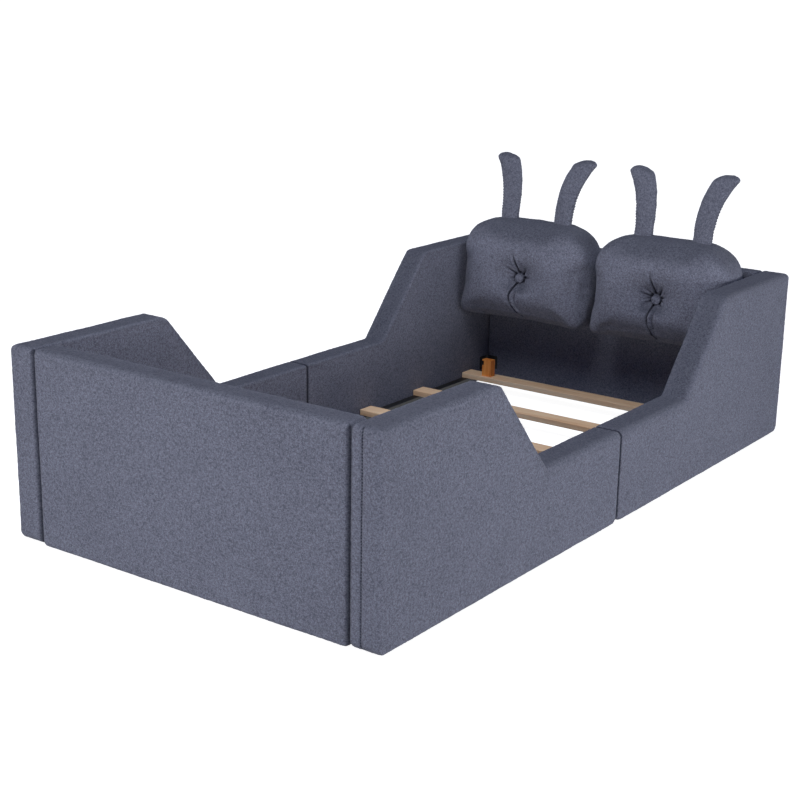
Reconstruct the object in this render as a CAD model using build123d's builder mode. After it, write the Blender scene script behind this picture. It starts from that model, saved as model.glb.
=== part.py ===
"""Padded floor bed for a single mattress, with two eared cushions against its headboard.

Each long side is two half panels that meet in the middle and step down to a low rail,
so a child can climb in from either side. The end boards stand between the sides.
X runs across the bed, Y from foot to head, Z up from the floor. Millimetres.
"""

import os
from math import cos, radians, sin

from build123d import *

# The bed as a whole
inner_width = 990
bed_length = 2120
panel_height = 515
rail_height = 255
side_thickness = 80
foot_thickness = 67
head_thickness = 60
seam_gap = 2
corner_gap = 3

# Outline of a half panel, seen from the side
wing_length = 452
slope_run = 226
bottom_corner = 22
seam_corner = 18
top_corner = 16
slope_foot_corner = 24
slope_top_corner = 50

# Outline of an end board
board_corner = 14

# Padded covers, plywood and timber inside every panel
padding = 6
edge_round = 8
ply_thickness = 8
timber_width = 30

# Feet pressed into the panels from below
glide_radius = 11
glide_height = 3
glide_pin_radius = 1.5
glide_pin_length = 14
glide_end_margin = 60
board_glide_margin = 115

# Steel ledgers along the sides and the slats on them
ledger_top = 39
ledger_width = 30
ledger_leg = 27
ledger_steel = 2.5
ledger_end_gap = 5
slat_count = 7
slat_width = 58
slat_thickness = 18
slat_end_gap = 4
slat_edge_round = 2
foot_slat_margin = 88
head_slat_margin = 103

# Blocks on the head slat that stop the mattress
block_width = 36
block_thickness = 24
block_height = 58
block_side_gap = 79
block_setback = 11
block_notch_width = 6
block_notch_height = 16
block_notch_drop = 5

# Wood screws
screw_radius = 2
screw_head_radius = 4
screw_head_height = 2.4
screw_recess_width = 1
screw_recess_depth = 1.2
ledger_screw_length = 25
ledger_screw_count = 4
ledger_screw_drop = 15
slat_screw_length = 14
slat_screw_inset = 18
block_screw_length = 42
block_screw_spacing = 18

# Machine bolts and the threaded inserts that they turn into
bolt_radius = 3
bolt_head_radius = 5.5
bolt_head_height = 3.3
bolt_socket = 4
bolt_socket_depth = 2
bolt_end_gap = 1
insert_radius = 5
hole_clearance = 0.3
fit_clearance = 0.05

# Steel angles in the four corners
bracket_leg = 45
bracket_height = 46
bracket_steel = 3
bracket_round = 4
bracket_bolt_inset = 28
bracket_bolt_margin = 12
bracket_base = 43

# Steel plates across the middle seams
plate_length = 140
plate_height = 40
plate_base = 70
plate_corner = 6
plate_inner_bolt = 35
plate_outer_bolt = 58

# Hook and loop patches between headboard and cushions
patch_width = 200
patch_height = 110
patch_thickness = 2
patch_corner = 10
patch_gap = 0.3

# Cushions
cushion_gap = 24
cushion_side_gap = 3
cushion_height = 345
cushion_depth = 205
cushion_rise = 100
cushion_shoulder = 128
cushion_corner = 30
cushion_draw = 5
cushion_crown = 5
cushion_lean = 6
cushion_depth_shares = (0, 0.08, 0.22, 0.45, 0.68, 0.8, 0.88, 0.94, 0.98, 1)
cushion_outline_shares = (0.86, 0.955, 1, 1, 1, 0.985, 0.955, 0.9, 0.82, 0.7)

# Tuft in each cushion, with its button and sewn pleats
button_radius = 15
button_thickness = 11
button_dome = 8
button_drop = 12
tuft_depth = 19
tuft_radius = 60
tuft_floor_gap = 1.5
tuft_bend_shares = (0.3, 0.66)
pleat_width = 5
pleat_depth = 10
upper_pleat_length = 72
short_pleat_length = 48
short_pleat_angles = (35, 145, 205, 335)
lower_pleat_length = 128
lower_pleat_bow = 22

# Ears
ear_spacing = 204
ear_length = 200
ear_base_width = 62
ear_top_width = 84
ear_thickness = 26
ear_tip_thickness = 18
ear_side_bend = 53
ear_back_bend = 43
ear_root = 24
ear_depth_share = 0.48
ear_length_shares = (0, 0.3, 0.55, 0.78, 0.91, 0.98, 1)
ear_swell_shares = (0, 0.25, 0.55, 0.9, 1, 1, 1)
ear_tip_shares = (1, 1, 1, 1, 0.94, 0.72, 0.45)
ear_corner_share = 0.42

# How far a cutting shape runs past what it cuts
overrun = 10

half_width = inner_width / 2
half_length = bed_length / 2
core_thickness = side_thickness - 2 * padding
head_inner = half_length - head_thickness
foot_inner = half_length - foot_thickness
ledger_screw_height = ledger_top - ledger_screw_drop
bolt_length = bracket_steel + padding + ply_thickness - bolt_end_gap
bracket_bolt_heights = (
    bracket_base + bracket_bolt_margin,
    bracket_base + bracket_height - bracket_bolt_margin,
)
plate_middle = plate_base + plate_height / 2
cushion_width = half_width - cushion_side_gap - cushion_gap / 2
cushion_places = {
    "left": -(cushion_gap + cushion_width) / 2,
    "right": (cushion_gap + cushion_width) / 2,
}
cushion_bottom = panel_height + cushion_rise - cushion_height
cushion_middle = cushion_bottom + cushion_height / 2
cushion_back = head_inner - 2 * patch_thickness - patch_gap
patch_middle = (cushion_bottom + panel_height) / 2

# Slat centres along the bed, foot to head
first_slat = foot_slat_margin + slat_width / 2 - foot_inner
last_slat = head_inner - head_slat_margin - slat_width / 2
slat_pitch = (last_slat - first_slat) / (slat_count - 1)
slat_places = [first_slat + slat_pitch * index for index in range(slat_count)]
slat_top = ledger_top + slat_thickness
block_front = last_slat - slat_width / 2 + block_setback

os.makedirs("parts", exist_ok=True)

QUARTERS = [
    (side, side_sign, end, end_sign)
    for side, side_sign in (("left", -1), ("right", 1))
    for end, end_sign in (("foot", -1), ("head", 1))
]
end_thicknesses = {"foot": foot_thickness, "head": head_thickness}


def save(piece, name):
    """Label a finished piece and write it under its name."""
    piece.label = name
    export_step(piece, f"parts/{name}.step")


def to_quarter(piece, side_sign, end_sign):
    """Mirror a piece of the left foot quarter into the quarter that the signs name."""
    if side_sign > 0:
        piece = piece.mirror(Plane.YZ)
    if end_sign > 0:
        piece = piece.mirror(Plane.XZ)
    return piece


def planes_in_quarter(planes, side_sign, end_sign):
    """Mirror planes of the left foot quarter into the quarter that the signs name."""
    return [
        Plane(
            origin=(-side_sign * plane.origin.X, -end_sign * plane.origin.Y, plane.origin.Z),
            z_dir=(-side_sign * plane.z_dir.X, -end_sign * plane.z_dir.Y, plane.z_dir.Z),
        )
        for plane in planes
    ]


def drawn_in(corners, inset):
    """Move each side of an anticlockwise outline inwards and give its new corners."""
    moved = []
    for index, corner in enumerate(corners):
        here = Vector(*corner)
        before = (here - Vector(*corners[index - 1])).normalized()
        after = (Vector(*corners[(index + 1) % len(corners)]) - here).normalized()
        reach = inset / (1 + before.dot(after))
        moved.append((here.X - (before.Y + after.Y) * reach, here.Y + (before.X + after.X) * reach))
    return moved


def rounded_face(corners, radii):
    """Fill a closed outline with rounded corners in the sketch being drawn."""
    with BuildLine() as outline:
        FilletPolyline(*corners, radius=radii, close=True)
    make_face(outline.edges())


def drill(planes, radius, depth):
    """Bore holes into the part being built, from each plane against its normal."""
    with Locations(*[plane.offset(overrun).location for plane in planes]):
        Cylinder(
            radius,
            depth + overrun,
            align=(Align.CENTER, Align.CENTER, Align.MAX),
            mode=Mode.SUBTRACT,
        )


def copies_at(piece, planes):
    """Stand a copy of a piece on each plane, as one group of separate solids."""
    with BuildPart() as group:
        with Locations(*[plane.location for plane in planes]):
            add(piece)
    return group.part


# Outline of the left foot half panel in side view, anticlockwise from its foot end
slope_top = wing_length - half_length
half_panel_corners = [
    (-half_length, glide_height),
    (-seam_gap / 2, glide_height),
    (-seam_gap / 2, rail_height),
    (slope_top + slope_run, rail_height),
    (slope_top, panel_height),
    (-half_length, panel_height),
]


def half_panel_rounds(inset):
    """Corner radii of the half panel outline, drawn in by inset."""
    return [
        bottom_corner - inset,
        seam_corner - inset,
        seam_corner - inset,
        slope_foot_corner + inset,
        slope_top_corner - inset,
        top_corner - inset,
    ]


# Outline of an end board, seen from the foot of the bed
board_edge = half_width - corner_gap
board_corners = [
    (-board_edge, glide_height),
    (board_edge, glide_height),
    (board_edge, panel_height),
    (-board_edge, panel_height),
]


def board_rounds(inset):
    """Corner radii of the end board outline, drawn in by inset."""
    return [board_corner - inset] * len(board_corners)


# Seats of the fixings in the left foot quarter. Each normal points out of the wood.
def ledger_screw_planes(end_thickness):
    """Through the ledger's standing leg into the bottom rail of the side."""
    near = seam_gap / 2 + slat_width
    far = half_length - end_thickness - bracket_leg
    step = (far - near) / (ledger_screw_count - 1)
    return [
        Plane(
            origin=(ledger_steel - half_width, -near - step * index, ledger_screw_height),
            z_dir=(1, 0, 0),
        )
        for index in range(ledger_screw_count)
    ]


def slat_screw_planes(end_sign):
    """From below through the ledger's flange. Both ledgers hold a slat on the seam."""
    distances = []
    for place in slat_places:
        if abs(place) < slat_width / 2:
            distances.append(place * end_sign + slat_width / 4)
        elif place * end_sign > 0:
            distances.append(place * end_sign)
    return [
        Plane(
            origin=(slat_screw_inset - half_width, -distance, ledger_top - ledger_steel),
            z_dir=(0, 0, -1),
        )
        for distance in distances
    ]


def bracket_bolt_planes(end_thickness):
    """Through a corner angle, two into the side and two into the end board."""
    inner_face = end_thickness - half_length
    into_side = [
        Plane(
            origin=(bracket_steel - half_width, inner_face + bracket_bolt_inset, height),
            z_dir=(1, 0, 0),
        )
        for height in bracket_bolt_heights
    ]
    into_board = [
        Plane(
            origin=(bracket_bolt_inset - half_width, inner_face + bracket_steel, height),
            z_dir=(0, 1, 0),
        )
        for height in bracket_bolt_heights
    ]
    return into_side, into_board


def plate_bolt_planes():
    """Through a seam plate into the half panel."""
    return [
        Plane(origin=(bracket_steel - half_width, -distance, plate_middle), z_dir=(1, 0, 0))
        for distance in (plate_inner_bolt, plate_outer_bolt)
    ]


def glide_planes():
    """Under the half panel, facing down."""
    return [
        Plane(origin=(-half_width - side_thickness / 2, -distance, glide_height), z_dir=(0, 0, -1))
        for distance in (glide_end_margin, half_length - glide_end_margin)
    ]


def board_glide_planes(end_thickness):
    """Under the left half of an end board, facing down."""
    return [
        Plane(
            origin=(board_glide_margin - half_width, end_thickness / 2 - half_length, glide_height),
            z_dir=(0, 0, -1),
        )
    ]


def block_screw_planes():
    """From below through the head slat into the left block."""
    middle = block_side_gap + block_width / 2 - half_width
    return [
        Plane(
            origin=(middle + shift, block_front + block_thickness / 2, ledger_top),
            z_dir=(0, 0, -1),
        )
        for shift in (-block_screw_spacing / 2, block_screw_spacing / 2)
    ]


def mitred_timbers(plane, corners, radii, upright, depth, glides):
    """Timbers mitred round the inside of an outline, with one upright between the rails."""
    outer = drawn_in(corners, padding)
    inner = drawn_in(corners, padding + timber_width)
    timbers = []
    for index, start in enumerate(outer):
        after = (index + 1) % len(outer)
        with BuildPart() as timber:
            with BuildSketch(plane):
                rounded_face(outer, radii)
                with BuildLine():
                    Polyline(start, outer[after], inner[after], inner[index], close=True)
                make_face(mode=Mode.INTERSECT)
            extrude(amount=depth)
            if index == 0:
                drill(glides, glide_pin_radius + fit_clearance, glide_pin_length + fit_clearance)
        timbers.append(timber.part)
    floor = inner[0][1]
    with BuildPart() as post:
        with BuildSketch(plane):
            with Locations((upright[0], floor)):
                Rectangle(timber_width, upright[1] - floor, align=(Align.MIN, Align.MIN))
        extrude(amount=depth)
    return timbers + [post.part]


def half_panel_frame(end_thickness):
    """Timber frame of the left foot half panel, with the ledger's screws let into it."""
    start = padding + ply_thickness - half_width - side_thickness
    corners = half_panel_corners
    foot_of_slope = drawn_in(corners, padding + timber_width)[3]
    timbers = mitred_timbers(
        Plane.YZ.offset(start),
        corners,
        half_panel_rounds(padding),
        foot_of_slope,
        core_thickness - 2 * ply_thickness,
        glide_planes(),
    )
    with BuildPart() as bottom_rail:
        add(timbers[0])
        drill(
            ledger_screw_planes(end_thickness),
            screw_radius + fit_clearance,
            ledger_screw_length + fit_clearance,
        )
    return Compound([bottom_rail.part, *timbers[1:]])


def half_panel_boards(end_thickness):
    """Two plywood faces of the left foot half panel, bored for inserts and screws."""
    outer_start = padding - half_width - side_thickness
    inner_start = -half_width - padding - ply_thickness
    with BuildPart() as boards:
        for start in (outer_start, inner_start):
            with BuildSketch(Plane.YZ.offset(start)):
                rounded_face(drawn_in(half_panel_corners, padding), half_panel_rounds(padding))
            extrude(amount=ply_thickness)
        into_side = bracket_bolt_planes(end_thickness)[0]
        drill(
            into_side + plate_bolt_planes(),
            insert_radius + fit_clearance,
            bracket_steel + padding + ply_thickness + fit_clearance,
        )
        drill(
            ledger_screw_planes(end_thickness),
            screw_radius + fit_clearance,
            ledger_steel + padding + ply_thickness + fit_clearance,
        )
    return boards.part


def half_panel_cover(end_thickness):
    """Padded fleece cover of the left foot half panel, open inside where the core fills it."""
    with BuildPart() as cover:
        with BuildSketch(Plane.YZ.offset(-half_width - side_thickness)):
            rounded_face(half_panel_corners, half_panel_rounds(0))
        extrude(amount=side_thickness)
        broad = cover.faces().sort_by(Axis.X)
        fillet(broad[0].edges() + broad[-1].edges(), edge_round)
        with BuildSketch(Plane.YZ.offset(padding - half_width - side_thickness)):
            rounded_face(drawn_in(half_panel_corners, padding), half_panel_rounds(padding))
        extrude(amount=core_thickness, mode=Mode.SUBTRACT)
        into_side = bracket_bolt_planes(end_thickness)[0]
        drill(
            into_side + plate_bolt_planes(),
            bolt_radius + hole_clearance,
            bracket_steel + padding + ply_thickness / 2,
        )
        drill(
            ledger_screw_planes(end_thickness),
            screw_radius + hole_clearance,
            ledger_steel + padding + ply_thickness / 2,
        )
        drill(glide_planes(), glide_pin_radius + fit_clearance, padding + ply_thickness / 2)
    return cover.part


def board_frame(end_thickness):
    """Timber frame of an end board, as at the foot, with a post in the middle."""
    inner_face = half_length - end_thickness
    left_glides = board_glide_planes(end_thickness)
    timbers = mitred_timbers(
        Plane.XZ.offset(inner_face + padding + ply_thickness),
        board_corners,
        board_rounds(padding),
        (-timber_width / 2, panel_height - padding - timber_width),
        end_thickness - 2 * padding - 2 * ply_thickness,
        left_glides + planes_in_quarter(left_glides, 1, -1),
    )
    return Compound(timbers)


def board_faces(end_thickness):
    """Two plywood faces of an end board, as at the foot, bored for inserts."""
    inner_start = half_length - end_thickness + padding
    outer_start = half_length - padding - ply_thickness
    into_board = bracket_bolt_planes(end_thickness)[1]
    with BuildPart() as boards:
        for start in (inner_start, outer_start):
            with BuildSketch(Plane.XZ.offset(start)):
                rounded_face(drawn_in(board_corners, padding), board_rounds(padding))
            extrude(amount=ply_thickness)
        drill(
            into_board + planes_in_quarter(into_board, 1, -1),
            insert_radius + fit_clearance,
            bracket_steel + padding + ply_thickness + fit_clearance,
        )
    return boards.part


def board_cover(end_thickness):
    """Padded fleece cover of an end board, as at the foot."""
    inner_face = half_length - end_thickness
    left_bolts = bracket_bolt_planes(end_thickness)[1]
    left_glides = board_glide_planes(end_thickness)
    with BuildPart() as cover:
        with BuildSketch(Plane.XZ.offset(inner_face)):
            rounded_face(board_corners, board_rounds(0))
        extrude(amount=end_thickness)
        broad = cover.faces().sort_by(Axis.Y)
        fillet(broad[0].edges() + broad[-1].edges(), edge_round)
        with BuildSketch(Plane.XZ.offset(inner_face + padding)):
            rounded_face(drawn_in(board_corners, padding), board_rounds(padding))
        extrude(amount=end_thickness - 2 * padding, mode=Mode.SUBTRACT)
        drill(
            left_bolts + planes_in_quarter(left_bolts, 1, -1),
            bolt_radius + hole_clearance,
            bracket_steel + padding + ply_thickness / 2,
        )
        drill(
            left_glides + planes_in_quarter(left_glides, 1, -1),
            glide_pin_radius + fit_clearance,
            padding + ply_thickness / 2,
        )
    return cover.part


def ledger(end_thickness, end_sign):
    """Black steel angle on the inside of the left foot half panel."""
    wall = -half_width
    length = half_length - end_thickness - ledger_end_gap - seam_gap / 2
    corners = [
        (wall, ledger_top - ledger_leg),
        (wall + ledger_steel, ledger_top - ledger_leg),
        (wall + ledger_steel, ledger_top - ledger_steel),
        (wall + ledger_width, ledger_top - ledger_steel),
        (wall + ledger_width, ledger_top),
        (wall, ledger_top),
    ]
    with BuildPart() as angle:
        with BuildSketch(Plane.XZ.offset(seam_gap / 2)):
            rounded_face(corners, [0, 0, ledger_steel, 0, 0, 2 * ledger_steel])
        extrude(amount=length)
        drill(ledger_screw_planes(end_thickness), screw_radius + hole_clearance, overrun)
        drill(slat_screw_planes(end_sign), screw_radius + hole_clearance, overrun)
    return angle.part


def corner_bracket(end_thickness):
    """Steel angle in the left foot corner."""
    wall = -half_width
    face = end_thickness - half_length
    corners = [
        (wall, face),
        (wall + bracket_leg, face),
        (wall + bracket_leg, face + bracket_steel),
        (wall + bracket_steel, face + bracket_steel),
        (wall + bracket_steel, face + bracket_leg),
        (wall, face + bracket_leg),
    ]
    into_side, into_board = bracket_bolt_planes(end_thickness)
    with BuildPart() as bracket:
        with BuildSketch(Plane.XY.offset(bracket_base)):
            rounded_face(corners, [0, 0, 0, bracket_round, 0, 0])
        extrude(amount=bracket_height)
        short = bracket.edges().filter_by(lambda edge: edge.length < bracket_steel + fit_clearance)
        fillet(short, bracket_round)
        drill(into_side + into_board, bolt_radius + hole_clearance, overrun)
    return bracket.part


for end, end_thickness in end_thicknesses.items():
    end_sign = 1 if end == "head" else -1
    quarter_pieces = {
        "frame": half_panel_frame(end_thickness),
        "boards": half_panel_boards(end_thickness),
        "cover": half_panel_cover(end_thickness),
        "ledger": ledger(end_thickness, end_sign),
        "bracket": corner_bracket(end_thickness),
    }
    for side, side_sign in (("left", -1), ("right", 1)):
        for piece_name, piece in quarter_pieces.items():
            save(to_quarter(piece, side_sign, end_sign), f"{side}_{end}_{piece_name}")
    save(to_quarter(board_frame(end_thickness), -1, end_sign), f"{end}_board_frame")
    save(to_quarter(board_faces(end_thickness), -1, end_sign), f"{end}_board_faces")
    save(to_quarter(board_cover(end_thickness), -1, end_sign), f"{end}_board_cover")

# Glides: hard discs, each on a pin that is pressed up into the timber
with BuildPart() as glide:
    Cylinder(glide_radius, glide_height, align=(Align.CENTER, Align.CENTER, Align.MIN))
    fillet(glide.edges().sort_by(Axis.Z)[-1], glide_height / 3)
    Cylinder(
        glide_pin_radius,
        glide_pin_length,
        align=(Align.CENTER, Align.CENTER, Align.MAX),
    )
glide_seats = []
for side, side_sign, end, end_sign in QUARTERS:
    seats = glide_planes() + board_glide_planes(end_thicknesses[end])
    glide_seats += planes_in_quarter(seats, side_sign, end_sign)
save(copies_at(glide.part, glide_seats), "glides")


def wood_screw(length):
    """Pan head wood screw with a cross recess, its head seated on the XY plane."""
    point = 2 * screw_radius
    with BuildPart() as screw:
        Cylinder(
            screw_head_radius,
            screw_head_height,
            align=(Align.CENTER, Align.CENTER, Align.MIN),
        )
        fillet(screw.edges().sort_by(Axis.Z)[-1], screw_head_height / 2)
        with Locations((0, 0, screw_head_height)):
            for turn in (0, 90):
                Box(
                    screw_head_radius,
                    screw_recess_width,
                    2 * screw_recess_depth,
                    rotation=(0, 0, turn),
                    mode=Mode.SUBTRACT,
                )
        Cylinder(
            screw_radius,
            length - point,
            align=(Align.CENTER, Align.CENTER, Align.MAX),
        )
        with Locations((0, 0, point - length)):
            Cone(
                screw_recess_width / 2,
                screw_radius,
                point,
                align=(Align.CENTER, Align.CENTER, Align.MAX),
            )
    return screw.part


# Screws of the ledgers, slats and blocks
ledger_screw_seats = []
slat_screw_seats = []
block_screw_seats = []
for side, side_sign, end, end_sign in QUARTERS:
    ledger_screw_seats += planes_in_quarter(
        ledger_screw_planes(end_thicknesses[end]), side_sign, end_sign
    )
    slat_screw_seats += planes_in_quarter(slat_screw_planes(end_sign), side_sign, end_sign)
for side_sign in (-1, 1):
    block_screw_seats += planes_in_quarter(block_screw_planes(), side_sign, -1)
save(copies_at(wood_screw(ledger_screw_length), ledger_screw_seats), "ledger_screws")
save(copies_at(wood_screw(slat_screw_length), slat_screw_seats), "slat_screws")
save(copies_at(wood_screw(block_screw_length), block_screw_seats), "block_screws")

# Button head bolts of the corner angles and seam plates, and their inserts
with BuildPart() as bolt:
    Cylinder(bolt_head_radius, bolt_head_height, align=(Align.CENTER, Align.CENTER, Align.MIN))
    fillet(bolt.edges().sort_by(Axis.Z)[-1], bolt_head_height / 2)
    with BuildSketch(Plane.XY.offset(bolt_head_height - bolt_socket_depth)):
        RegularPolygon(bolt_socket / 2, 6, major_radius=False)
    extrude(amount=overrun, mode=Mode.SUBTRACT)
    Cylinder(bolt_radius, bolt_length, align=(Align.CENTER, Align.CENTER, Align.MAX))
with BuildPart() as insert:
    with BuildSketch(Plane.XY.offset(-bracket_steel - padding)):
        Circle(insert_radius)
        Circle(bolt_radius + fit_clearance, mode=Mode.SUBTRACT)
    extrude(amount=-ply_thickness)
bracket_bolt_seats = []
plate_bolt_seats = []
for side, side_sign, end, end_sign in QUARTERS:
    into_side, into_board = bracket_bolt_planes(end_thicknesses[end])
    bracket_bolt_seats += planes_in_quarter(into_side + into_board, side_sign, end_sign)
    plate_bolt_seats += planes_in_quarter(plate_bolt_planes(), side_sign, end_sign)
save(copies_at(bolt.part, bracket_bolt_seats), "bracket_bolts")
save(copies_at(bolt.part, plate_bolt_seats), "plate_bolts")
save(copies_at(insert.part, bracket_bolt_seats + plate_bolt_seats), "threaded_inserts")

# Plates that tie the two half panels of each side together
with BuildPart() as seam_plate:
    with BuildSketch(Plane.YZ.offset(-half_width)):
        with Locations((0, plate_middle)):
            RectangleRounded(plate_length, plate_height, plate_corner)
    extrude(amount=bracket_steel)
    drill(
        plate_bolt_planes() + planes_in_quarter(plate_bolt_planes(), -1, 1),
        bolt_radius + hole_clearance,
        overrun,
    )
save(seam_plate.part, "left_seam_plate")
save(to_quarter(seam_plate.part, 1, -1), "right_seam_plate")

# Slats, screwed down from below, the head one also bored for the screws of the blocks
for index, place in enumerate(slat_places):
    with BuildPart() as slat:
        with BuildSketch(Plane.YZ):
            with Locations((place, slat_top - slat_thickness / 2)):
                RectangleRounded(slat_width, slat_thickness, slat_edge_round)
        extrude(amount=half_width - slat_end_gap, both=True)
        from_below = [seat for seat in slat_screw_seats if abs(seat.origin.Y - place) < slat_width / 2]
        drill(from_below, screw_radius + fit_clearance, slat_screw_length + fit_clearance)
        if index == slat_count - 1:
            drill(block_screw_seats, screw_radius + fit_clearance, block_screw_length + fit_clearance)
    save(slat.part, f"slat_{index + 1}")

# Blocks that stand on the head slat, each with a notch in its outer edge
block_outer = block_side_gap - half_width
with BuildPart() as block:
    with BuildSketch(Plane.XY.offset(slat_top)):
        with Locations((block_outer, block_front)):
            Rectangle(block_width, block_thickness, align=(Align.MIN, Align.MIN))
    extrude(amount=block_height)
    with BuildSketch(Plane.XY.offset(slat_top + block_height - block_notch_drop)):
        with Locations((block_outer, block_front)):
            Rectangle(2 * block_notch_width, 2 * (block_thickness + overrun))
    extrude(amount=-block_notch_height, mode=Mode.SUBTRACT)
    drill(
        planes_in_quarter(block_screw_planes(), -1, -1),
        screw_radius + fit_clearance,
        block_screw_length + fit_clearance,
    )
save(block.part, "left_block")
save(to_quarter(block.part, 1, -1), "right_block")


def patch(side, front):
    """Fabric patch in the headboard's plane, with its front face at the given place."""
    with BuildPart() as piece:
        with BuildSketch(Plane.XZ.offset(-front - patch_thickness)):
            with Locations((cushion_places[side], patch_middle)):
                RectangleRounded(patch_width, patch_height, patch_corner)
        extrude(amount=patch_thickness)
    return piece.part


def cushion_plane(side, depth_share):
    """Plane across a cushion, at a share of its depth from the back, leaning further forward."""
    lean = radians(cushion_lean * depth_share)
    return Plane(
        origin=(cushion_places[side], cushion_back - cushion_depth * depth_share, cushion_middle),
        x_dir=(1, 0, 0),
        z_dir=(0, -cos(lean), sin(lean)),
    )


def cushion_outline(share):
    """Outline of a cushion at a share of its full size: broad shoulders, sides drawn in."""
    across = share * cushion_width / 2
    up = share * cushion_height / 2
    draw = share * cushion_draw
    crown = share * cushion_crown
    with BuildLine() as outline:
        ThreePointArc((-across, -up), (0, draw - up), (across, -up))
        ThreePointArc((across, -up), (across - draw, 0), (across, up - crown))
        ThreePointArc((across, up - crown), (0, up), (-across, up - crown))
        ThreePointArc((-across, up - crown), (draw - across, 0), (-across, -up))
    make_face(outline.edges())


def stuffed_cushion(side):
    """A cushion: crowned front, flat back, a deep buttoned tuft and its pleats."""
    front = cushion_plane(side, 1)
    seat = front.shift_origin(front.from_local_coords((0, -button_drop)))
    with BuildPart() as cushion:
        for depth_share, share in zip(cushion_depth_shares, cushion_outline_shares):
            with BuildSketch(cushion_plane(side, depth_share)) as outline:
                cushion_outline(share)
                corners = outline.vertices().sort_by(Axis.Y)
                fillet(corners[:2], share * cushion_corner)
                shoulders = outline.vertices().sort_by(Axis.Y)[-2:]
                fillet(shoulders, share * cushion_shoulder)
        loft()
        with BuildSketch(Plane(origin=seat.origin, x_dir=seat.x_dir, z_dir=-seat.y_dir)):
            floor = (button_radius + tuft_floor_gap, -tuft_depth)
            with BuildLine():
                Polyline(
                    (tuft_radius, 0),
                    (tuft_radius, overrun),
                    (0, overrun),
                    (0, -tuft_depth),
                    floor,
                )
                ThreePointArc(
                    floor,
                    (
                        floor[0] + (tuft_radius - floor[0]) * tuft_bend_shares[0],
                        tuft_depth * (tuft_bend_shares[1] - 1),
                    ),
                    (tuft_radius, 0),
                )
            make_face()
        revolve(axis=Axis(seat.origin, seat.z_dir), mode=Mode.SUBTRACT)
        with BuildSketch(seat.offset(-pleat_depth)):
            with Locations((0, upper_pleat_length / 2)):
                SlotOverall(upper_pleat_length, pleat_width, rotation=90)
            for angle in short_pleat_angles:
                reach = short_pleat_length / 2
                with Locations((reach * cos(radians(angle)), reach * sin(radians(angle)))):
                    SlotOverall(short_pleat_length, pleat_width, rotation=angle)
            with BuildLine(mode=Mode.PRIVATE) as lower_pleat:
                ThreePointArc(
                    (0, 0),
                    (-lower_pleat_bow, -lower_pleat_length / 2),
                    (0, -lower_pleat_length),
                )
            SlotArc(lower_pleat.wire(), pleat_width)
        extrude(amount=pleat_depth + overrun, mode=Mode.SUBTRACT)
    return cushion.part, seat.offset(-tuft_depth)


def ear(side, way, cushion):
    """A stuffed ear that swells upwards, bends out and back, and stands on the cushion's top."""
    root = Vector(
        cushion_places[side] + way * ear_spacing / 2,
        cushion_back - cushion_depth * ear_depth_share,
        cushion_bottom + cushion_height - ear_root,
    )
    length = ear_length + ear_root
    with BuildPart() as piece:
        for share, swell, tip in zip(ear_length_shares, ear_swell_shares, ear_tip_shares):
            bend = Vector(way * ear_side_bend, ear_back_bend, 0)
            middle = root + bend * share**2 + Vector(0, 0, length) * share
            with BuildSketch(Plane(origin=middle, x_dir=(1, 0, 0), z_dir=(0, 0, 1))):
                width = (ear_base_width + (ear_top_width - ear_base_width) * swell) * tip
                thickness = (ear_thickness + (ear_tip_thickness - ear_thickness) * share) * tip
                RectangleRounded(width, thickness, ear_corner_share * thickness)
        loft()
        add(cushion, mode=Mode.SUBTRACT)
    return piece.part


# Covered button, domed, made once and seated in both tufts
with BuildPart() as button:
    Cylinder(button_radius, button_thickness, align=(Align.CENTER, Align.CENTER, Align.MIN))
    fillet(button.edges().sort_by(Axis.Z)[-1], button_dome)

for side in cushion_places:
    cushion, tuft_floor = stuffed_cushion(side)
    save(cushion, f"{side}_cushion")
    save(copies_at(button.part, [tuft_floor]), f"{side}_button")
    for way_name, way in (("outer", -1), ("inner", 1)):
        outward = way if side == "left" else -way
        save(ear(side, outward, cushion), f"{side}_{way_name}_ear")
    save(patch(side, head_inner - patch_thickness), f"{side}_loop_patch")
    save(patch(side, cushion_back), f"{side}_hook_patch")
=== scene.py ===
"""A padded floor bed in grey-blue teddy fleece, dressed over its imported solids.

The sections follow the order in which the bed is put together: the timber and plywood cores, the
hardware that ties them, their sewn covers, the slatted base, and the two eared cushions.
"""

import math

import bmesh
import bpy
import numpy as np
from mathutils import Matrix, Vector


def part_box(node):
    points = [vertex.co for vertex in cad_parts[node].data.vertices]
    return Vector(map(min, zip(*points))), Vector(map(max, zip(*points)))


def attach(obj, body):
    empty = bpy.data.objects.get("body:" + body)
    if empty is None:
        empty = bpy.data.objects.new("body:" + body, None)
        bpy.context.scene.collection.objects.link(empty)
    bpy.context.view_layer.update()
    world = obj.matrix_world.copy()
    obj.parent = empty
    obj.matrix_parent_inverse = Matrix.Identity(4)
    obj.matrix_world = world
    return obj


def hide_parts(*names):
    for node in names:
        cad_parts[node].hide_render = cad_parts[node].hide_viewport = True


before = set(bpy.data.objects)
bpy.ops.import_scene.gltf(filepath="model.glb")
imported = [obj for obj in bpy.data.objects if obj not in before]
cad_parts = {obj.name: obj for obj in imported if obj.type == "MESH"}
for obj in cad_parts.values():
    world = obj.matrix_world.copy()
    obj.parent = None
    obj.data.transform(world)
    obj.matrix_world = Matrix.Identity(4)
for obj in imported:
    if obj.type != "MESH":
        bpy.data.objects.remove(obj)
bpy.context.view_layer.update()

# Timber frames inside the sides and the end boards.
# Sawn spruce laths, mitred and stapled at the corners, left rough because the boards hide them.


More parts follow.
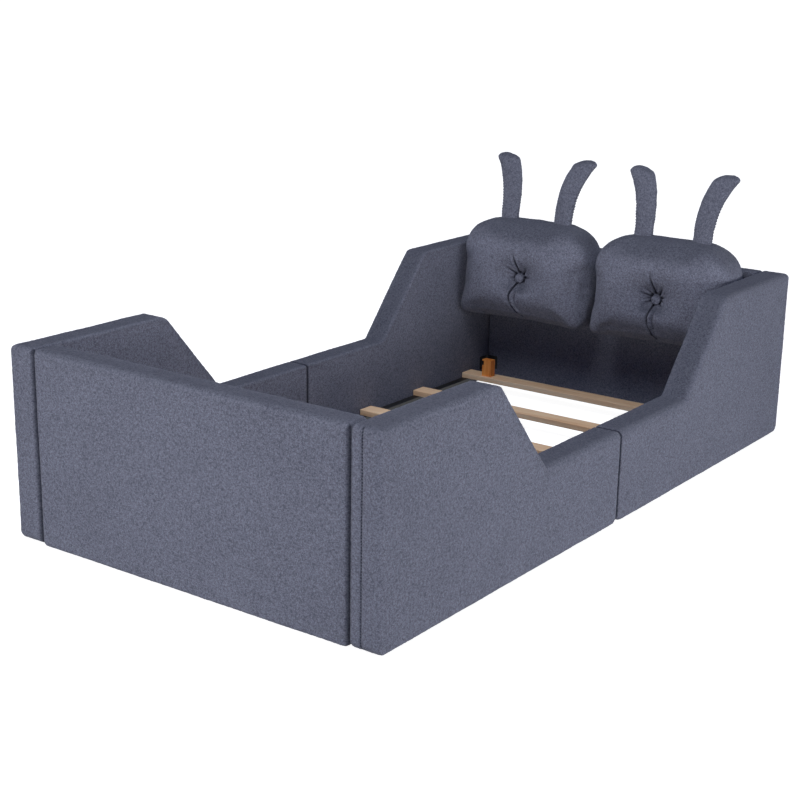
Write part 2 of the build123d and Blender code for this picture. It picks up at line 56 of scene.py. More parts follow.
def tone(red, green, blue):
    """A colour as a paint chart gives it, in 0 to 255, as the light that it returns."""
    shares = (red / 255, green / 255, blue / 255)
    return tuple(s / 12.92 if s <= 0.04045 else ((s + 0.055) / 1.055) ** 2.4 for s in shares) + (1.0,)


def new_finish(name, roughness):
    """A material with its shader and the coordinates that its patterns lie on."""
    finish = bpy.data.materials.new(name)
    finish.use_nodes = True
    nodes = finish.node_tree.nodes
    shader = nodes["Principled BSDF"]
    shader.inputs["Roughness"].default_value = roughness
    return finish, shader, nodes.new("ShaderNodeTexCoord").outputs["Object"]


def joined(finish, kind, wires, **settings):
    """A new node of a kind, with its settings, and its inputs wired or set."""
    node = finish.node_tree.nodes.new(kind)
    for key, value in settings.items():
        setattr(node, key, value)
    for key, value in wires.items():
        if isinstance(value, bpy.types.NodeSocket):
            finish.node_tree.links.new(value, node.inputs[key])
        else:
            node.inputs[key].default_value = value
    return node


def cloudy(finish, place, scale, detail=3.0, roughness=0.55, distortion=0.0):
    """Soft noise of a given scale."""
    wires = {
        "Vector": place,
        "Scale": scale,
        "Detail": detail,
        "Roughness": roughness,
        "Distortion": distortion,
    }
    return joined(finish, "ShaderNodeTexNoise", wires).outputs["Fac"]


def stretched(finish, place, scale):
    """The same place with its axes stretched, so that a pattern runs along a grain."""
    return joined(finish, "ShaderNodeMapping", {"Vector": place, "Scale": scale}).outputs["Vector"]


def shaded(finish, share, stops):
    """A colour picked along stops of (share, colour)."""
    ramp = joined(finish, "ShaderNodeValToRGB", {"Fac": share})
    while len(ramp.color_ramp.elements) < len(stops):
        ramp.color_ramp.elements.new(0.5)
    for element, (spot, colour) in zip(ramp.color_ramp.elements, stops):
        element.position = spot
        element.color = colour
    return ramp.outputs["Color"]


def reckoned(finish, operation, *values):
    """A sum on shares."""
    return joined(finish, "ShaderNodeMath", dict(enumerate(values)), operation=operation).outputs[0]


def coat(finish, shader, colour, height, strength, distance):
    """The colour and the relief of a surface."""
    finish.node_tree.links.new(colour, shader.inputs["Base Color"])
    wires = {"Height": height, "Strength": strength, "Distance": distance}
    relief = joined(finish, "ShaderNodeBump", wires)
    finish.node_tree.links.new(relief.outputs["Normal"], shader.inputs["Normal"])


def dress(names, finish):
    """Gives a finish to solids that keep their own shape."""
    for name in names:
        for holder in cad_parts[name].material_slots:
            holder.material = finish


QUARTERS = ("left_foot", "left_head", "right_foot", "right_head")
ENDS = ("foot_board", "head_board")

sawn_spruce, shader, place = new_finish("sawn_spruce", 0.85)
grain = cloudy(sawn_spruce, stretched(sawn_spruce, place, (26, 26, 5)), 3.0, 6.0, 0.65, 0.8)
fuzz = cloudy(sawn_spruce, place, 240.0, 4.0)
stops = ((0.3, tone(176, 134, 92)), (0.52, tone(206, 168, 122)), (0.7, tone(224, 192, 150)))
colour = shaded(sawn_spruce, grain, stops)
coat(sawn_spruce, shader, colour, reckoned(sawn_spruce, "ADD", grain, fuzz), 0.5, 0.0012)
dress([f"{name}_frame" for name in QUARTERS + ENDS], sawn_spruce)

# Plywood skins of the sides and the end boards.
# Poplar ply, 8 mm, glued and stapled to the frames, with a faint rotary-cut figure.
poplar_ply, shader, place = new_finish("poplar_ply", 0.7)
figure = cloudy(poplar_ply, stretched(poplar_ply, place, (3, 3, 14)), 2.4, 5.0, 0.6, 1.4)
pores = cloudy(poplar_ply, stretched(poplar_ply, place, (60, 60, 420)), 1.0, 3.0)
stops = ((0.34, tone(188, 156, 112)), (0.55, tone(214, 186, 142)), (0.72, tone(226, 204, 166)))
coat(poplar_ply, shader, shaded(poplar_ply, figure, stops), pores, 0.3, 0.0005)
dress([f"{name}_boards" for name in QUARTERS] + [f"{name}_faces" for name in ENDS], poplar_ply)

# Corner brackets, seam plates and slat ledgers.
# Folded or punched 2.5 to 3 mm steel with a fine black powder coat, scuffed a little.
powder_coat, shader, place = new_finish("powder_coat", 0.5)
peel = cloudy(powder_coat, place, 900.0, 2.0)
scuffs = cloudy(powder_coat, place, 22.0, 8.0, 0.7)
stops = ((0.35, tone(20, 21, 23)), (0.6, tone(28, 29, 32)), (0.78, tone(48, 48, 50)))
coat(powder_coat, shader, shaded(powder_coat, scuffs, stops), peel, 0.35, 0.0003)
wires = {"Value": scuffs, "To Min": 0.4, "To Max": 0.62}
worn = joined(powder_coat, "ShaderNodeMapRange", wires).outputs["Result"]
powder_coat.node_tree.links.new(worn, shader.inputs["Roughness"])
brackets = [f"{name}_bracket" for name in QUARTERS]
ledgers = [f"{name}_ledger" for name in QUARTERS]
dress(brackets + ledgers + ["left_seam_plate", "right_seam_plate", "bracket_bolts"], powder_coat)

# Bolts, screws and threaded inserts.
# Steel with a bright zinc plating, slightly cloudy, drawn and rolled rather than polished.
zinc_plate, shader, place = new_finish("zinc_plate", 0.32)
shader.inputs["Metallic"].default_value = 1.0
spangle = cloudy(zinc_plate, place, 160.0, 5.0, 0.6)
lines = cloudy(zinc_plate, stretched(zinc_plate, place, (900, 900, 60)), 1.0, 2.0)
colour = shaded(zinc_plate, spangle, ((0.3, tone(150, 152, 156)), (0.7, tone(198, 201, 205))))
coat(zinc_plate, shader, colour, lines, 0.25, 0.0002)
dress(["plate_bolts", "threaded_inserts", "ledger_screws", "slat_screws", "block_screws"], zinc_plate)

# Covers of the four half sides.
# Sewn sleeves of teddy fleece over thin wadding, pulled tight on a plywood box, with a seam up each
# end face near its inner edge. They are drawn 1 to 3 mm past the solids, for the pile.
side_low, side_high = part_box("right_head_cover")
SIDE_IN = side_low.x
SIDE_OUT = side_high.x + 0.003
SIDE_SEAM = side_low.y
SIDE_END = side_high.y + 0.002
SIDE_FOOT = side_low.z - 0.002
SIDE_TOP = side_high.z + 0.002
RAIL_TOP = 0.257
SLOPE_LOW = 0.382
SLOPE_HIGH = 0.608
SLOPE_TOP_ROUND = 0.050
SLOPE_FOOT_ROUND = 0.024
JOINT_ROUND = 0.007
END_ROUND = 0.016
BOTTOM_ROUND = 0.022
EDGE_ROUND = 0.006
TOP_ROUND = 0.020
GAP_ROUND = 0.018
FLEECE_GRID = 0.004

# Where the seam up an end face runs, how deep and wide its crease is, how far the end reaches in,
# and how fast its stitches follow each other, in radians per metre.
END_SEAM = 0.526
SEAM_DEEP = 0.003
SEAM_WIDE = 0.004
END_REACH = 0.012
STITCH_TURNS = 900.0
# Where the cloth of the left sides and of the boards' right edges turns in beside a gap, with a
# painted shade line along it.
LEFT_GAP = -SIDE_IN - 0.002
RIGHT_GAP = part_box("foot_board_cover")[1].x

# How far the slopes lie from their symmetric places, and the stretch of the side that shifts.
SLOPE_SHIFT = {"foot": 0.009, "head": -0.004}
SHIFT_START = 0.12
SHIFT_GROWTH = 0.2
SHIFT_STOP = 0.95
SHIFT_FADE = 0.25

# Lumps of the wadding and of the pile: their size, and how far they rise and fall.
WADDING_LUMPS = (0.16, 0.0022)
PILE_LUMPS = (0.007, 0.0016)

# Painted shade where the cloth faces up: the upward lean where it starts, how much more lean it takes
# to deepen fully, and how widely it blurs.
TOP_SHADE_FROM = 0.2
TOP_SHADE_OVER = 0.5
TOP_SHADE_ROUNDS = 14


def take_up(piece):
    """Makes a piece the only selected one."""
    bpy.ops.object.select_all(action="DESELECT")
    piece.select_set(True)
    bpy.context.view_layer.objects.active = piece


def block_of(name, low, high):
    """A squared block between two corners, left open in edit mode for shaping."""
    bpy.ops.object.select_all(action="DESELECT")
    size = [b - a for a, b in zip(low, high)]
    middle = [(a + b) / 2 for a, b in zip(low, high)]
    bpy.ops.mesh.primitive_cube_add(size=1, location=middle, scale=size)
    piece = bpy.context.object
    piece.name = name
    bpy.ops.object.transform_apply(location=True, rotation=True, scale=True)
    bpy.ops.object.mode_set(mode="EDIT")
    return piece


def pick(kind, test):
    """Selects the points, edges or faces of the open piece whose points all pass a test."""
    shape = bmesh.from_edit_mesh(bpy.context.object.data)
    bpy.ops.mesh.select_all(action="DESELECT")
    bpy.ops.mesh.select_mode(type=kind)
    groups = {"VERT": shape.verts, "EDGE": shape.edges, "FACE": shape.faces}
    for item in groups[kind]:
        points = [item.co] if kind == "VERT" else [v.co for v in item.verts]
        item.select_set(all(test(p) for p in points))
    shape.select_flush_mode()
    bmesh.update_edit_mesh(bpy.context.object.data)


def near(a, b):
    """Whether two places on a block are the same one."""
    return abs(a - b) < 1e-5


def rounded(test, radius, steps, turn=math.pi / 2):
    """Rounds the edges that pass a test, where the block's outline turns by an angle."""
    pick("EDGE", test)
    bpy.ops.mesh.bevel(offset_type="OFFSET", offset=radius * math.tan(turn / 2), segments=steps)


def even_net(piece, grid):
    """Lays an even net over a closed piece, as fine as its cloth needs."""
    take_up(piece)
    net = piece.modifiers.new("net", "REMESH")
    net.mode = "VOXEL"
    net.voxel_size = grid
    bpy.ops.object.modifier_apply(modifier="net")
    ease = piece.modifiers.new("ease", "SMOOTH")
    ease.factor = 0.5
    ease.iterations = 2
    bpy.ops.object.modifier_apply(modifier="ease")


def measured(rows, name):
    """Three numbers of each row of mesh data."""
    values = np.empty(len(rows) * 3, np.float32)
    rows.foreach_get(name, values)
    return values.reshape(-1, 3).astype(float)


def points_of(piece):
    """The places of a piece's points."""
    return measured(piece.data.vertices, "co")


def facing_of(piece):
    """The ways that a piece's points face."""
    return measured(piece.data.vertex_normals, "vector")


def set_points(piece, places):
    """Moves a piece's points to new places."""
    piece.data.vertices.foreach_set("co", places.astype(np.float32).ravel())
    piece.data.update()


def ruffle(piece, name, size, height):
    """Raises and lowers a surface by soft lumps of a size."""
    lumps = bpy.data.textures.new(name, "CLOUDS")
    lumps.noise_scale = size
    lumps.noise_depth = 1
    take_up(piece)
    lift = piece.modifiers.new(name, "DISPLACE")
    lift.texture = lumps
    lift.texture_coords = "LOCAL"
    lift.strength = height
    lift.mid_level = 0.5
    bpy.ops.object.modifier_apply(modifier=name)


def eased(share):
    """A share from 0 to 1 that starts and ends gently."""
    share = np.clip(share, 0, 1)
    return share * share * (3 - 2 * share)


def bell(distance, wide):
    """A share that is 1 at no distance and fades on both sides, mostly within a width."""
    return np.exp(-((distance / wide) ** 2))


def worn_round(aside, below, radius):
    """How far points near a sharp edge move in from its two faces, to round it by a radius."""
    corner = np.stack([radius - aside, radius - below], 1)
    far = np.hypot(corner[:, 0], corner[:, 1])
    pressed = (corner > 0).all(1) & (far > radius)
    share = np.where(pressed, radius / np.maximum(far, 1e-9), 1)
    return corner[:, 0] * (1 - share), corner[:, 1] * (1 - share)


def smooth_and_shade_tops(piece, least_shade=0.0):
    """Smooths the shading, and marks where the cloth faces up, where a painted shade darkens it."""
    take_up(piece)
    bpy.ops.object.shade_smooth()
    painted_top_shade = eased((facing_of(piece)[:, 2] - TOP_SHADE_FROM) / TOP_SHADE_OVER)
    count = len(painted_top_shade)
    ends = np.empty(len(piece.data.edges) * 2, np.int32)
    piece.data.edges.foreach_get("vertices", ends)
    one, other = ends.reshape(-1, 2).T
    neighbours = np.bincount(one, minlength=count) + np.bincount(other, minlength=count)
    for _ in range(TOP_SHADE_ROUNDS):
        total = np.bincount(one, painted_top_shade[other], count) + np.bincount(other, painted_top_shade[one], count)
        painted_top_shade = total / neighbours
    marks = piece.data.attributes.new("painted_top_shade", "FLOAT", "POINT")
    marks.data.foreach_set("value", np.maximum(painted_top_shade, least_shade).astype(np.float32))


slope_turn = math.atan2(SIDE_TOP - RAIL_TOP, SLOPE_HIGH - SLOPE_LOW)
half_side = block_of("half_side", (SIDE_IN, SIDE_SEAM, SIDE_FOOT), (SIDE_OUT, SIDE_END, SIDE_TOP))
for cut in (SLOPE_LOW, SLOPE_HIGH):
    bpy.ops.mesh.select_all(action="SELECT")
    bpy.ops.mesh.bisect(plane_co=(0, cut, 0), plane_no=(0, 1, 0))
pick("VERT", lambda p: p.y < SLOPE_LOW + 1e-4 and near(p.z, SIDE_TOP))
bpy.ops.transform.translate(value=(0, 0, RAIL_TOP - SIDE_TOP))
bpy.ops.mesh.select_all(action="SELECT")
bpy.ops.mesh.dissolve_limited(angle_limit=0.01)
for y, z, radius, steps, turn in (
    (SLOPE_HIGH, SIDE_TOP, SLOPE_TOP_ROUND, 8, slope_turn),
    (SLOPE_LOW, RAIL_TOP, SLOPE_FOOT_ROUND, 5, slope_turn),
    (SIDE_SEAM, RAIL_TOP, JOINT_ROUND, 4, math.pi / 2),
    (SIDE_END, SIDE_TOP, END_ROUND, 6, math.pi / 2),
    (SIDE_SEAM, SIDE_FOOT, BOTTOM_ROUND, 6, math.pi / 2),
    (SIDE_END, SIDE_FOOT, BOTTOM_ROUND, 6, math.pi / 2),
):
    rounded(lambda p, y=y, z=z: near(p.y, y) and near(p.z, z), radius, steps, turn)
for x in (SIDE_IN, SIDE_OUT):
    rounded(lambda p, x=x: near(p.x, x), EDGE_ROUND, 5)
bpy.ops.object.mode_set(mode="OBJECT")
even_net(half_side, FLEECE_GRID)

places = points_of(half_side)
top = np.interp(places[:, 1], [SLOPE_LOW, SLOPE_HIGH], [RAIL_TOP, SIDE_TOP])
inward, downward = worn_round(SIDE_OUT - places[:, 0], top - places[:, 2], TOP_ROUND)
places[:, 0] -= inward
places[:, 2] -= downward
set_points(half_side, places)


def mixed(finish, share, first, second, way="MIX"):
    """Two colours mixed by a share."""
    wires = {0: share, 6: first, 7: second}
    return joined(finish, "ShaderNodeMix", wires, data_type="RGBA", blend_type=way).outputs[2]


def drawn_line(finish, distance, half_wide, blur, depth):
    """A line as dark as its depth where a distance is small, with a soft edge at its half width."""
    wires = {
        "Value": distance,
        "From Min": half_wide - blur,
        "From Max": half_wide + blur,
        "To Min": depth,
        "To Max": 0.0,
    }
    return joined(finish, "ShaderNodeMapRange", wires).outputs["Result"]


def seam_and_gap_shade_lines(finish, place):
    """The dark lines of the covers: the stitched seam up an end face, painted shade on the rounded
    edges that turn in at its gaps, and the joint between the halves of a side."""
    parts = joined(finish, "ShaderNodeSeparateXYZ", {0: place}).outputs
    along = reckoned(finish, "ABSOLUTE", parts["Y"])
    lines = []
    for spot, half_wide, blur, depth in (
        (END_SEAM, 0.002, 0.0012, 1.0),
        # Painted shade in the rounded edges beside the gaps.
        (LEFT_GAP, 0.006, 0.005, 0.8),
        (RIGHT_GAP, 0.006, 0.005, 0.8),
    ):
        aside = reckoned(finish, "ABSOLUTE", reckoned(finish, "SUBTRACT", parts["X"], spot))
        lines.append(drawn_line(finish, aside, half_wide, blur, depth))
    seam, left_gap_shade, right_gap_shade = lines
    stitches = reckoned(finish, "SINE", reckoned(finish, "MULTIPLY", parts["Z"], STITCH_TURNS))
    stitches = reckoned(finish, "MULTIPLY_ADD", stitches, 0.25, 0.7)
    seam = reckoned(finish, "MULTIPLY", seam, stitches)
    seam_and_gap_shade = reckoned(finish, "MAXIMUM", seam, reckoned(finish, "MAXIMUM", left_gap_shade, right_gap_shade))
    on_end = reckoned(finish, "GREATER_THAN", along, SIDE_END - 0.010)
    joint = drawn_line(finish, along, 0.0045, 0.002, 0.9)
    return reckoned(finish, "MAXIMUM", reckoned(finish, "MULTIPLY", seam_and_gap_shade, on_end), joint)


teddy_fleece, shader, place = new_finish("teddy_fleece", 0.95)
shader.inputs["Specular IOR Level"].default_value = 0.15
shader.inputs["Sheen Weight"].default_value = 0.06
shader.inputs["Sheen Roughness"].default_value = 0.6
wires = {"Vector": place, "Scale": 130.0, "Detail": 2.0}
drift = joined(teddy_fleece, "ShaderNodeTexNoise", wires).outputs["Color"]
wires = {0: drift, 1: (0.012, 0.012, 0.012)}
swirl = joined(teddy_fleece, "ShaderNodeVectorMath", wires, operation="MULTIPLY").outputs[0]
wires = {0: place, 1: swirl}
curled = joined(teddy_fleece, "ShaderNodeVectorMath", wires, operation="ADD").outputs[0]
wires = {"Vector": curled, "Scale": 300.0, "Smoothness": 0.6}
curls = joined(teddy_fleece, "ShaderNodeTexVoronoi", wires, feature="SMOOTH_F1").outputs["Distance"]
pile = cloudy(teddy_fleece, place, 620.0, 4.0, 0.7)
nap = cloudy(teddy_fleece, place, 7.0, 3.0, 0.6)
tufts = cloudy(teddy_fleece, place, 150.0, 3.0, 0.6)
height = reckoned(teddy_fleece, "MULTIPLY_ADD", curls, -0.9, pile)
shade = reckoned(teddy_fleece, "MULTIPLY", height, 0.6)
shade = reckoned(teddy_fleece, "MULTIPLY_ADD", tufts, 0.55, shade)
shade = reckoned(teddy_fleece, "MULTIPLY_ADD", nap, 0.12, shade)
stops = ((0.2, tone(95, 97, 112)), (0.42, tone(122, 125, 141)), (0.62, tone(141, 145, 162)))
colour = shaded(teddy_fleece, shade, stops)
# Painted shade: cloth that faces up is darkened towards a dark navy.
painted_top_shade = joined(teddy_fleece, "ShaderNodeAttribute", {}, attribute_name="painted_top_shade").outputs["Fac"]
painted_top_shade = reckoned(teddy_fleece, "MULTIPLY", painted_top_shade, 0.52)
colour = mixed(teddy_fleece, painted_top_shade, colour, tone(20, 23, 36))
# Painted shade in the cushions' sunken pleats and in the gaps beside the covers, mixed with the dark
# thread of the seams.
crease_shade_mask = joined(teddy_fleece, "ShaderNodeAttribute", {}, attribute_name="painted_crease_shade").outputs["Fac"]
seam_and_shade_lines = reckoned(teddy_fleece, "MAXIMUM", crease_shade_mask, seam_and_gap_shade_lines(teddy_fleece, place))
colour = mixed(teddy_fleece, seam_and_shade_lines, colour, tone(34, 36, 50))
height = reckoned(teddy_fleece, "MULTIPLY_ADD", tufts, 1.2, height)
height = reckoned(teddy_fleece, "MULTIPLY_ADD", seam_and_shade_lines, -1.5, height)
coat(teddy_fleece, shader, colour, height, 0.55, 0.0022)

for name in QUARTERS:
    cover = half_side.copy()
    cover.data = half_side.data.copy()
    cover.name = f"{name}_fleece"
    bpy.context.scene.collection.objects.link(cover)
    across = -1 if name.startswith("left") else 1
    along = -1 if name.endswith("foot") else 1
    cover.data.transform(Matrix.Diagonal((across, along, 1, 1)))
    if across != along:
        cover.data.flip_normals()
    places = points_of(cover)
    on_end = (np.abs(places[:, 1]) > SIDE_END - END_REACH) * np.abs(facing_of(cover)[:, 1])
    places[:, 1] -= along * SEAM_DEEP * bell(places[:, 0] - END_SEAM, SEAM_WIDE) * on_end
    if across < 0:
        from_end = SIDE_END - along * places[:, 1]
        inward, sideways = worn_round(from_end, -SIDE_IN - places[:, 0], GAP_ROUND)
        places[:, 1] -= along * inward
        places[:, 0] -= sideways
    far = np.abs(places[:, 1])
    shifted = eased((far - SHIFT_START) / SHIFT_GROWTH) * eased((SHIFT_STOP - far) / SHIFT_FADE)
    places[:, 1] -= along * SLOPE_SHIFT[name.split("_")[1]] * shifted
    set_points(cover, places)
    ruffle(cover, f"{name}_ease", *WADDING_LUMPS)
    ruffle(cover, f"{name}_pile", *PILE_LUMPS)
    cover.data.materials.append(teddy_fleece)
    smooth_and_shade_tops(cover)
    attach(cover, "bed")
    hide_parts(f"{name}_cover")
bpy.data.objects.remove(half_side)

# Covers of the foot board and the headboard.
# The same fleece and wadding on plain boxes, the foot board 67 mm thick and the headboard 60 mm.
BOARD_CORNER = 0.014
for name, out in (("foot_board", -1), ("head_board", 1)):
    low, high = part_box(f"{name}_cover")
    half = high.x
    front, back = sorted((out * SIDE_END, low.y if out > 0 else high.y))
    cover = block_of(f"{name}_fleece", (-half, front, SIDE_FOOT), (half, back, SIDE_TOP))
    for x in (-half, half):
        for z in (SIDE_FOOT, SIDE_TOP):
            rounded(lambda p, x=x, z=z: near(p.x, x) and near(p.z, z), BOARD_CORNER, 6)
    for y in (front, back):
        rounded(lambda p, y=y: near(p.y, y), EDGE_ROUND, 5)
    bpy.ops.object.mode_set(mode="OBJECT")
    even_net(cover, FLEECE_GRID)
    places = points_of(cover)
    inward, downward = worn_round(SIDE_END - out * places[:, 1], SIDE_TOP - places[:, 2], TOP_ROUND)
    places[:, 1] -= out * inward
    places[:, 2] -= downward
    inward, sideways = worn_round(SIDE_END - out * places[:, 1], half - places[:, 0], GAP_ROUND)
    places[:, 1] -= out * inward
    places[:, 0] -= sideways
    set_points(cover, places)
    ruffle(cover, f"{name}_ease", *WADDING_LUMPS)
    ruffle(cover, f"{name}_pile", *PILE_LUMPS)
    cover.data.materials.append(teddy_fleece)
    smooth_and_shade_tops(cover)
    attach(cover, "bed")
    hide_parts(f"{name}_cover")

# Slats of the base.
# Seven planed pine boards, 58 by 18 mm, laid across the ledgers and screwed from below.
planed_pine, shader, place = new_finish("planed_pine", 0.62)
along_grain = stretched(planed_pine, place, (1.6, 30, 30))
rings = cloudy(planed_pine, along_grain, 2.2, 6.0, 0.62, 1.1)
streaks = cloudy(planed_pine, stretched(planed_pine, place, (5, 260, 260)), 1.0, 3.0)
wires = {"Vector": stretched(planed_pine, place, (3.1, 11, 4)), "Scale": 1.0}
knots = joined(planed_pine, "ShaderNodeTexVoronoi", wires).outputs["Distance"]
wires = {"Value": knots, "From Min": 0.03, "From Max": 0.16}
clear_wood = joined(planed_pine, "ShaderNodeMapRange", wires).outputs["Result"]
boards = cloudy(planed_pine, stretched(planed_pine, place, (0.15, 2.6, 0.1)), 1.0, 1.0)
stops = ((0.3, tone(232, 194, 154)), (0.5, tone(250, 222, 188)), (0.68, tone(254, 238, 212)))
colour = shaded(planed_pine, rings, stops)
colour = mixed(planed_pine, boards, colour, tone(240, 218, 202), "MULTIPLY")
colour = mixed(planed_pine, clear_wood, tone(122, 76, 46), colour)
coat(planed_pine, shader, colour, reckoned(planed_pine, "ADD", rings, streaks), 0.35, 0.0006)
dress([f"slat_{number}" for number in range(1, 8)], planed_pine)

# Blocks on the head slat.
# Two small hardwood posts with a notch in the outer edge, stained orange-brown.
stained_block, shader, place = new_finish("stained_block", 0.45)
rings = cloudy(stained_block, stretched(stained_block, place, (90, 90, 9)), 1.0, 5.0, 0.6, 0.8)
pores = cloudy(stained_block, stretched(stained_block, place, (900, 900, 60)), 1.0, 2.0)
stops = ((0.3, tone(196, 106, 42)), (0.5, tone(240, 148, 68)), (0.72, tone(250, 178, 100)))
colour = shaded(stained_block, rings, stops)
coat(stained_block, shader, colour, reckoned(stained_block, "ADD", rings, pores), 0.3, 0.0005)
dress(["left_block", "right_block"], stained_block)

# Glides under the sides and the end boards.
# Black moulded polypropylene discs, pinned on, with a faint spark-eroded grain.
moulded_glide, shader, place = new_finish("moulded_glide", 0.6)
eroded = cloudy(moulded_glide, place, 1400.0, 2.0)
dust = cloudy(moulded_glide, place, 60.0, 4.0)
colour = shaded(moulded_glide, dust, ((0.35, tone(30, 31, 33)), (0.7, tone(44, 45, 48))))
coat(moulded_glide, shader, colour, eroded, 0.3, 0.0003)
dress(["glides"], moulded_glide)

# Hook and loop patches behind the cushions.
# Dark woven tape with a dense field of loops or hooks, sewn on to the headboard and the cushion.
loop_tape, shader, place = new_finish("loop_tape", 0.9)
wires = {"Vector": place, "Scale": 520.0}
weave = joined(loop_tape, "ShaderNodeTexVoronoi", wires).outputs["Distance"]
hairs = reckoned(loop_tape, "MULTIPLY", weave, cloudy(loop_tape, place, 900.0, 4.0, 0.7))
colour = shaded(loop_tape, hairs, ((0.1, tone(26, 28, 36)), (0.4, tone(52, 55, 66))))
coat(loop_tape, shader, colour, weave, 0.6, 0.0012)
dress(["left_loop_patch", "right_loop_patch", "left_hook_patch", "right_hook_patch"], loop_tape)

# Cushions.
# Two boxed cushions of the same fleece, filled tight with polyester, flat at the back where they
# rest on the headboard, round-shouldered, and drawn in at the middle by a covered button.
CUSHIONS = {"left": -0.252, "right": 0.249}
CUSHION_WIDE = 0.480
CUSHION_LOW = 0.270
CUSHION_TOP = 0.615
CUSHION_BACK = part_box("left_hook_patch")[0].y
CUSHION_DEEP = 0.215
CUSHION_LEAN = math.tan(math.radians(6))
CUSHION_SHOULDER = 0.108
CUSHION_CORNER = 0.024
CUSHION_GRID = 0.006
CUSHION_LUMPS = (0.07, 0.0035)
CUSHION_PILE = (0.006, 0.0016)
cushion_middle = (CUSHION_LOW + CUSHION_TOP) / 2
cushion_tall = CUSHION_TOP - CUSHION_LOW

# A cushion is cut smaller than it fills out to: shares of its width and height, lengths of its depth.
CUT_WIDE = 0.985
CUT_TALL = 0.968
CUT_BEHIND = 0.004
CUT_SHORT = 0.012

# How far the rim of its front falls back and the middle stands out.
RIM_BACK = 0.018
MIDDLE_OUT = 0.006

# The dent round the button, and the ring that the button sits in.
TUFT_Z = cushion_middle - 0.012
TUFT_REACH = 0.066
TUFT_DEEP = 0.026
BUTTON_SEAT = 0.017

# The filling: how far the cloth may swell, and where its sides and top start to be held back.
FILL_MOMENTS = 20
SWELL_MOST = 0.016
SIDE_HELD = 0.238
TOP_HELD = 0.604
HELD_SHARE = 0.4

# The outline from back to front: share of the depth, of the width and of the height.
CUSHION_LAYERS = (
    (0, 0.84, 0.8),
    (0.08, 0.91, 0.885),
    (0.22, 0.952, 0.935),
    (0.45, 0.99, 0.985),
    (0.62, 1.0, 1.0),
    (0.9, 1.0, 1.0),
    (0.95, 0.989, 0.984),
    (0.98, 0.966, 0.952),
    (0.995, 0.94, 0.917),
    (1.0, 0.915, 0.88),
)


def resized(wide, tall):
    """Resizes what is selected about the cushion's middle."""
    middle = (0, 0, cushion_middle)
    bpy.ops.transform.resize(value=(wide, 1, tall), center_override=middle)


bpy.ops.object.select_all(action="DESELECT")
bpy.ops.mesh.primitive_plane_add(
    size=1, location=(0, CUSHION_BACK - CUT_BEHIND, cushion_middle), rotation=(math.pi / 2, 0, 0)
)
pad = bpy.context.object
pad.name = "pad"
pad.scale = (CUSHION_WIDE * CUT_WIDE, cushion_tall * CUT_TALL, 1)
bpy.ops.object.transform_apply(location=True, rotation=True, scale=True)
bpy.ops.object.mode_set(mode="EDIT")
pick("VERT", lambda p: p.z > cushion_middle)
bpy.ops.mesh.bevel(affect="VERTICES", offset=CUSHION_SHOULDER, segments=10)
pick("VERT", lambda p: p.z < cushion_middle - 0.1)
bpy.ops.mesh.bevel(affect="VERTICES", offset=CUSHION_CORNER, segments=5)
bpy.ops.mesh.select_all(action="SELECT")
resized(*CUSHION_LAYERS[0][1:])
for (below, was_wide, was_tall), (above, wide, tall) in zip(CUSHION_LAYERS, CUSHION_LAYERS[1:]):
    step = (CUSHION_DEEP - CUT_SHORT) * (above - below)
    bpy.ops.mesh.extrude_region_move(TRANSFORM_OT_translate={"value": (0, -step, 0)})
    resized(wide / was_wide, tall / was_tall)
bpy.ops.mesh.select_all(action="SELECT")
bpy.ops.mesh.normals_make_consistent(inside=False)
bpy.ops.object.mode_set(mode="OBJECT")
even_net(pad, CUSHION_GRID)

places = points_of(pad)
forward = np.clip((CUSHION_BACK - places[:, 1]) / CUSHION_DEEP, 0, 1)
places[:, 1] += forward * CUSHION_LEAN * (places[:, 2] - cushion_middle)
across = (np.abs(places[:, 0]) / (CUSHION_WIDE / 2)).clip(0, 1)
upward = (np.abs(places[:, 2] - cushion_middle) / (cushion_tall / 2)).clip(0, 1)
crowned = 1 - (1 - across**3) * (1 - upward**3)
places[:, 1] += (RIM_BACK * crowned - MIDDLE_OUT) * eased((forward - 0.4) / 0.5)
reach = np.hypot(places[:, 0], places[:, 2] - TUFT_Z)
drawn = TUFT_DEEP * eased((TUFT_REACH - reach) / (TUFT_REACH - BUTTON_SEAT))
places[:, 1] += drawn * (forward > 0.5)
set_points(pad, places)

held = pad.vertex_groups.new(name="held")
tied = np.flatnonzero((reach < BUTTON_SEAT + 0.004) & (forward > 0.5))
held.add([int(index) for index in tied], 1.0, "REPLACE")
filling = pad.modifiers.new("filling", "CLOTH")
filling.settings.quality = 6
filling.settings.use_pressure = True
filling.settings.uniform_pressure_force = 4.0
filling.settings.effector_weights.gravity = 0
filling.settings.vertex_group_mass = "held"
filling.settings.tension_stiffness = 15
filling.settings.compression_stiffness = 15
filling.settings.bending_stiffness = 0.5
filling.point_cache.frame_end = FILL_MOMENTS
for moment in range(1, FILL_MOMENTS + 1):
    bpy.context.scene.frame_set(moment)
filled = pad.evaluated_get(bpy.context.evaluated_depsgraph_get())
swell = points_of(filled) - places
long = np.linalg.norm(swell, axis=1, keepdims=True)
places += swell * np.minimum(1, SWELL_MOST / np.maximum(long, 1e-9))
pad.modifiers.remove(filling)
spread = np.abs(places[:, 0])
over = (spread - SIDE_HELD).clip(0, None)
places[:, 0] = np.sign(places[:, 0]) * (spread - over * (1 - HELD_SHARE))
places[:, 2] -= (places[:, 2] - TOP_HELD).clip(0, None) * (1 - HELD_SHARE)
set_points(pad, places)
bpy.context.scene.frame_set(1)

